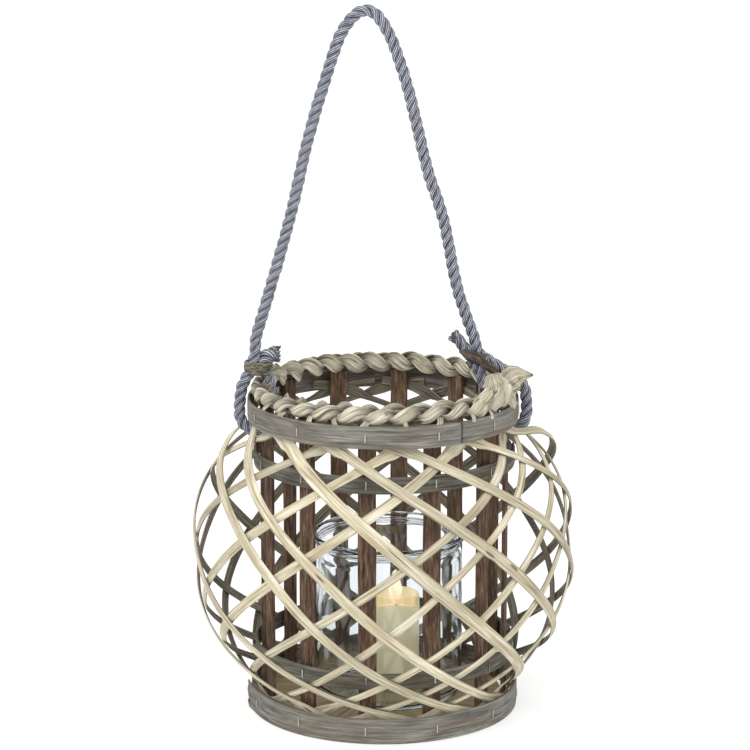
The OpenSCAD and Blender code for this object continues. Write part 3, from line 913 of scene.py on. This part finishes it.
def cord_strands(points, swell_start, swell_end):
    """Three strands laid into a rope along [x, z] points, swelled by a share of its size at each end."""
    line, run = even(curve(points, 12), ROPE_STEP)
    line = np.stack([line[:, 0], np.zeros(len(line)), line[:, 1]], 1)
    along = unit(np.gradient(line, axis=0))
    normal = np.cross(BACK, along)
    swell = 1 + swell_start * near_end(run) + swell_end * near_end(run[-1] - run)
    q = np.linspace(0, 2 * np.pi, 24, endpoint=False)
    sheets = []
    for k in range(3):
        turn = 2 * np.pi * (run / ROPE_LAY + k / 3)
        offset = (STRAND_OUT * swell)[:, None]
        centre = line + offset * (np.cos(turn)[:, None] * normal + np.sin(turn)[:, None] * BACK)
        path = unit(np.gradient(centre, axis=0))
        side = unit(np.cross(path, BACK))
        above = np.cross(side, path)
        radius = (STRAND_R * swell * (1 + smooth_noise(len(run), 90, 0.06)))[:, None]
        rings = (centre[:, None, :] + (radius * np.cos(q))[:, :, None] * side[:, None, :]
                 + (radius * np.sin(q))[:, :, None] * above[:, None, :])
        # The tone darkens the strands towards the middle of the rope, as painted shade in the grooves between
        # them.
        out = np.linalg.norm(rings - line[:, None, :], axis=2) / (ROPE_R * swell[:, None])
        sheets.append(sheet(rings, tone=np.clip((out - 0.62) / 0.32, 0, 1)))
    return sheets, line, along


def frayed(seed, end, heading, count, size, length, spread):
    """Loose yarns that open out from a cut rope end."""
    draw = np.random.default_rng(seed)
    across = unit(np.cross(heading, BACK))
    yarns = []
    for _ in range(count):
        angle = draw.uniform(0, 2 * np.pi)
        reach = math.sqrt(draw.uniform(0.05, 1))
        out = math.cos(angle) * across + math.sin(angle) * BACK
        start = end + out * reach * size - heading * 3
        full = length * draw.uniform(0.6, 1.1)
        bend = draw.normal(0, 0.8, 3)
        line = curve([start, start + heading * full * 0.5 + out * spread * reach * 0.35,
                      start + heading * full + out * spread * reach + bend], 5)
        yarns.append(sheet(tube(line, np.linspace(0.9, 0.5, len(line))), tone=draw.uniform(0.2, 1)))
    return yarns


def rope_cord():
    """The whole cord: a loop on each side and the carrying arch, which bends at the two knots."""
    points = LEFT_LOOP[::-1] + HANDLE + RIGHT_LOOP
    sheets, line, along = cord_strands(points, 0.38, 0.05)
    sheets += frayed(21, line[0], -along[0], count=90, size=7.2, length=6, spread=1.5)
    sheets += frayed(22, line[-1], along[-1], count=60, size=5.2, length=5, spread=2.0)
    nodes = ["rope_handle", "rope_loop_left", "rope_loop_right"]
    cord = piece("rope_cord", sheets, [ROPE], None, "rope", *nodes, sharp=80)
    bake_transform(cord)


def oval(run):
    """Points that far round an oval of two straight sides with a half circle at each end."""
    straight = KNOT_L - 2 * KNOT_DEPTH
    bend = np.pi * KNOT_DEPTH
    r = run % (2 * straight + 2 * bend)
    part = [r < straight, r < straight + bend, r < 2 * straight + bend]
    first = (r - straight) / KNOT_DEPTH
    second = (r - 2 * straight - bend) / KNOT_DEPTH
    x = np.select(part, [r - straight / 2, straight / 2 + KNOT_DEPTH * np.sin(first),
                         straight / 2 - (r - straight - bend)], -straight / 2 - KNOT_DEPTH * np.sin(second))
    y = np.select(part, [-KNOT_DEPTH, -KNOT_DEPTH * np.cos(first), KNOT_DEPTH], KNOT_DEPTH * np.cos(second))
    return x, y


def winding(seed, x, z, tilt, h, turns):
    """Twine wound round two ropes that lie side by side, as one sheet h high, tilted round its middle."""
    draw = np.random.default_rng(seed)
    steps = int(turns * 64)
    girth = 2 * (KNOT_L - 2 * KNOT_DEPTH) + 2 * np.pi * KNOT_DEPTH
    s = np.linspace(0, turns * girth, steps)
    strand_h = h / (turns + 0.2)
    rise = np.linspace(-h / 2 + strand_h / 2, h / 2 - strand_h / 2, steps)
    rise = rise + smooth_noise(steps, int(turns * 9), strand_h * 0.2, draw)
    line = np.stack([*oval(s), rise], 1)
    along = unit(np.gradient(line, axis=0))
    out = unit(np.stack([along[:, 1], -along[:, 0], np.zeros(steps)], 1))
    line = line + smooth_noise(steps, int(turns * 11), 0.5, draw)[:, None] * out
    up = np.cross(out, along)
    q = np.linspace(0, 2 * np.pi, 18, endpoint=False)
    ridge = 1 + 0.09 * np.cos(6 * q[None, :] + s[:, None] * 0.12)
    rings = (line[:, None, :] + (KNOT_HALF_T * np.cos(q) * ridge)[:, :, None] * out[:, None, :]
             + (strand_h * 0.56 * np.sin(q) * ridge)[:, :, None] * up[:, None, :])
    a = math.radians(tilt)
    turned = np.stack([rings[..., 0] * math.cos(a) + rings[..., 2] * math.sin(a) + x, rings[..., 1],
                       -rings[..., 0] * math.sin(a) + rings[..., 2] * math.cos(a) + z], -1)
    return sheet(turned)


def lashings():
    """The left knot is wound with thick twine, and the right one with tape whose end lies along the rope."""
    twine = [winding(31, -124.3, 344, tilt=8, h=13.5, turns=3.4)]
    piece("knot_left", twine, [TWINE], "basket", "lashing", "binding_left", sharp=70)
    line = curve([[91, -7.6, 357], [97, -8.4, 352], [104, -8.2, 346], [111, -6.8, 341]], 5)
    tape_end = ribbon(line, [-0.2, -1.0, -0.3], np.full(len(line), TAPE_W), TAPE_T, fold=0.2, ridges=0.05)
    tape = [winding(32, 88, 357, tilt=24, h=12, turns=2.3), sheet(tape_end)]
    piece("knot_right", tape, [TAPE], "basket", "lashing", "binding_right", sharp=70)


# ---------------------------------------------------------------- jar and candle

def glass_jar():
    """A thick jar with a waisted neck, two beads round it and a rolled rim."""
    r = JAR_BODY_R
    n = JAR_NECK_Z
    inside = r - JAR_WALL
    profile = [
        [0, 1.2], [r - 16, 0.8], [r - 12, 0], [r - 6, 0], [r - 2, 1.5], [r, 6], [r, n - 8], [r - 2, n - 2],
        [r - 2, n + 2], [r, n + 3.5], [r - 1.5, n + 5.5], [JAR_RIM_R - 0.8, n + 7], [JAR_RIM_R, n + 9],
        [JAR_RIM_R, JAR_H - 2.5], [JAR_RIM_R - 1.5, JAR_H], [JAR_RIM_R - JAR_WALL, JAR_H],
        [inside - 2, n + 5], [inside - 2, n - 2], [inside, n - 8], [inside, JAR_FLOOR + 6],
        [inside - 5, JAR_FLOOR], [0, JAR_FLOOR]]
    piece("jar", [lathe(rounded(profile, 2.2), JAR_X, JAR_Z, 160)], [GLASS], "jar", "jar_glass", "glass_jar",
          sharp=60)


def candle():
    """A pillar of wax with a melted well that leaves a thin wall, and its wick."""
    r = CANDLE_R
    h = CANDLE_H
    well_r = r - WELL_WALL
    well_z = h - WELL_DEPTH
    profile = [[0, 0], [r - 1, 0], [r, 1], [r, h * 0.5], [r, h - 2], [r - 1, h], [r - 2.4, h],
               [well_r, h - 3], [well_r - 1, well_z + 1], [well_r - 4, well_z], [1.3, well_z]]
    piece("wax_pillar", [lathe(rounded(profile, 1.2), CANDLE_X, CANDLE_Z, 96)], [WAX], "candle", "wax",
          "candle_wax", sharp=70)
    foot = np.array([CANDLE_X, 0, POOL_Z - 9])
    line = curve([foot, foot + [0, 0, 9], foot + [0.3, 0, 13], foot + [1.0, -0.4, 16.2]], 6)
    radius = 0.95 + 0.12 * np.cos(np.arange(len(line)) * 2.0)
    piece("wick", [sheet(tube(line, radius, 8))], [WICK], "candle", "wick", "candle_wick", sharp=70)


def flame():
    """A still, tear-shaped flame on the wick, and the light that it gives."""
    foot_z = POOL_Z + FLAME_LIFT
    t = np.linspace(0, 1, 26)
    radius = FLAME_R * np.sin(np.pi * t**0.8) ** 0.7 * (1 - 0.2 * t) + 0.05
    profile = np.stack([radius, t * FLAME_H], 1)
    body = piece("flame", [lathe(profile, CANDLE_X, foot_z, 40)], [flame_material(foot_z)], "candle", "wick")
    body.visible_shadow = False
    lamp = bpy.data.lights.new("flame_light", "POINT")
    lamp.energy = FLAME_POWER
    lamp.color = colour("ffe6bf")[:3]
    lamp.shadow_soft_size = FLAME_R * 0.8 * MM
    light = bpy.data.objects.new("flame_light", lamp)
    bpy.context.scene.collection.objects.link(light)
    light.location = (CANDLE_X * MM, 0, (foot_z + FLAME_H * 0.45) * MM)
    light.parent = body
    light.matrix_parent_inverse = body.matrix_world.inverted()


# ---------------------------------------------------------------- stage

def sky():
    """White behind the object, and a softer light that falls mostly from above."""
    world = bpy.data.worlds.new("sky")
    bpy.context.scene.world = world
    world.use_nodes = True
    tree = world.node_tree
    tree.nodes.clear()
    up = node(tree, "SeparateXYZ", {"Vector": node(tree, "TexCoord").outputs["Generated"]}).outputs["Z"]
    rise = between(tree, up, -0.1, 0.9)
    strength = maths(tree, "MULTIPLY_ADD", rise, 0.75, 0.5)
    seen = node(tree, "LightPath").outputs["Is Camera Ray"]
    strength = maths(tree, "MAXIMUM", strength, maths(tree, "MULTIPLY", seen, 1.1))
    light = node(tree, "Background", {"Color": (1, 1, 1, 1), "Strength": strength})
    node(tree, "OutputWorld", {"Surface": light.outputs[0]})


def area_lamp(name, place_at, power, size):
    """A broad soft lamp turned towards the object."""
    lamp = bpy.data.lights.new(name, "AREA")
    lamp.energy = power
    lamp.size = size
    light = bpy.data.objects.new(name, lamp)
    light.location = place_at
    light.rotation_mode = "QUATERNION"
    light.rotation_quaternion = (Vector(LAMP_AIM) - light.location).to_track_quat("-Z", "Y")
    bpy.context.scene.collection.objects.link(light)


def floor_and_light():
    """A plain white floor, a white sky, and soft light from the left with a weaker one from the right."""
    mesh = bpy.data.meshes.new("floor")
    corners = [(x * FLOOR_HALF, y * FLOOR_HALF, 0) for x, y in ((-1, -1), (1, -1), (1, 1), (-1, 1))]
    mesh.from_pydata(corners, [], [(0, 1, 2, 3)])
    mesh.materials.append(floor_material())
    floor = bpy.data.objects.new("floor", mesh)
    floor.location.z = -FLOOR_DROP
    bpy.context.scene.collection.objects.link(floor)
    sky()
    for lamp in LAMPS:
        area_lamp(*lamp)


def camera():
    """A long lens, well above the rim and looking slightly down."""
    data = bpy.data.cameras.new("camera")
    data.lens = CAMERA_LENS
    data.sensor_width = CAMERA_SENSOR
    data.clip_end = CAMERA_REACH
    made = bpy.data.objects.new("camera", data)
    made.location = CAMERA_AT
    made.rotation_euler = (math.radians(90 - CAMERA_DIP), 0, 0)
    bpy.context.scene.collection.objects.link(made)
    bpy.context.scene.camera = made


# ---------------------------------------------------------------- the lantern

CHIP = chip_material(
    "chip_wood", [(0.36, "4c4a44"), (0.46, "6b6961"), (0.54, "7e7c73"), (0.64, "96948b")], "716355")
# The hoops lie inside the globe and get a darker copy of the chip wood, as painted shade.
HOOP_SHADED = chip_material(
    "hoop_wood_shaded", [(0.36, "403f38"), (0.46, "5c5a50"), (0.54, "6f6d61"), (0.64, "8b897b")], "5f5443")
BARK = bark_material()
BOARD = board_material()
WILLOW = willow_material(
    "willow_skin", [(0.34, "8b7f65"), (0.44, "b6ab8f"), (0.54, "cec5ab"), (0.66, "e9e2cf")],
    "a39577", "54432f")
# The inward faces of the strips get a darker copy of the willow, as painted shade.
WILLOW_BACK_SHADED = willow_material(
    "willow_back_shaded", [(0.35, "423b31"), (0.45, "6b6455"), (0.54, "878070"), (0.66, "aca592")],
    "5d5547", "2f2922")
BRAID = braid_material()
ROPE = rope_material()
TWINE = twine_material("lashing_twine", 420, 140, [(0.38, "2f2b25"), (0.49, "5f594b"), (0.61, "988f7b")])
TAPE = twine_material(
    "lashing_tape", 150, 70, [(0.4, "2d2a27"), (0.5, "4c443b"), (0.58, "6a5d4c"), (0.7, "a3875e")])
STEEL = steel_material()
GLASS = glass_material()
WAX = wax_material()
WICK = wick_material()

bent_band("band_base", BAND_BORE_R, 0, BASE_BAND_H, -82, -1, CHIP, "base_band", tear=3.5, lift=2.0)
bent_band("band_rim", BAND_BORE_R, RIM_BAND_Z, RIM_BAND_H, 32.7, 1, CHIP, "top_band", tear=0.1)
bent_band("hoop_lower", HOOP_BORE_R, LOWER_HOOP_Z, HOOP_H, 140, 1, HOOP_SHADED, "lower_hoop", tear=1.5)
bent_band("hoop_middle", HOOP_BORE_R, MIDDLE_HOOP_Z, HOOP_H, 95, 1, HOOP_SHADED, "middle_hoop", tear=3.0)
board()

slat_low, slat_high = (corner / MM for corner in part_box("upright_01"))
for i in range(UPRIGHTS):
    upright(i, slat_low.z, slat_high.z)

for i, path in enumerate(OUTER_PATHS):
    strip(f"willow_outer_{i + 1:02d}", path, 0, "willow_outer", f"outer_strip_{i + 1:02d}")
for i, path in enumerate(INNER_PATHS):
    strip(f"willow_inner_{i + 1:02d}", path, 1, "willow_inner", f"inner_strip_{i + 1:02d}")

for i in range(3):
    braid_strand(i)
braid_core()
braid_ends()
braid_chips()

for name in ("base_staples", "lower_staples", "middle_staples", "top_staples"):
    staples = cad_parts[name]
    staples.data.materials.clear()
    staples.data.materials.append(STEEL)
    bevel = staples.modifiers.new("rounded_wire", "BEVEL")
    bevel.width = 0.3 * MM
    bevel.segments = 2

rope_cord()
lashings()

glass_jar()
candle()
flame()

floor_and_light()
camera()
bpy.context.scene.view_settings.view_transform = "Standard"
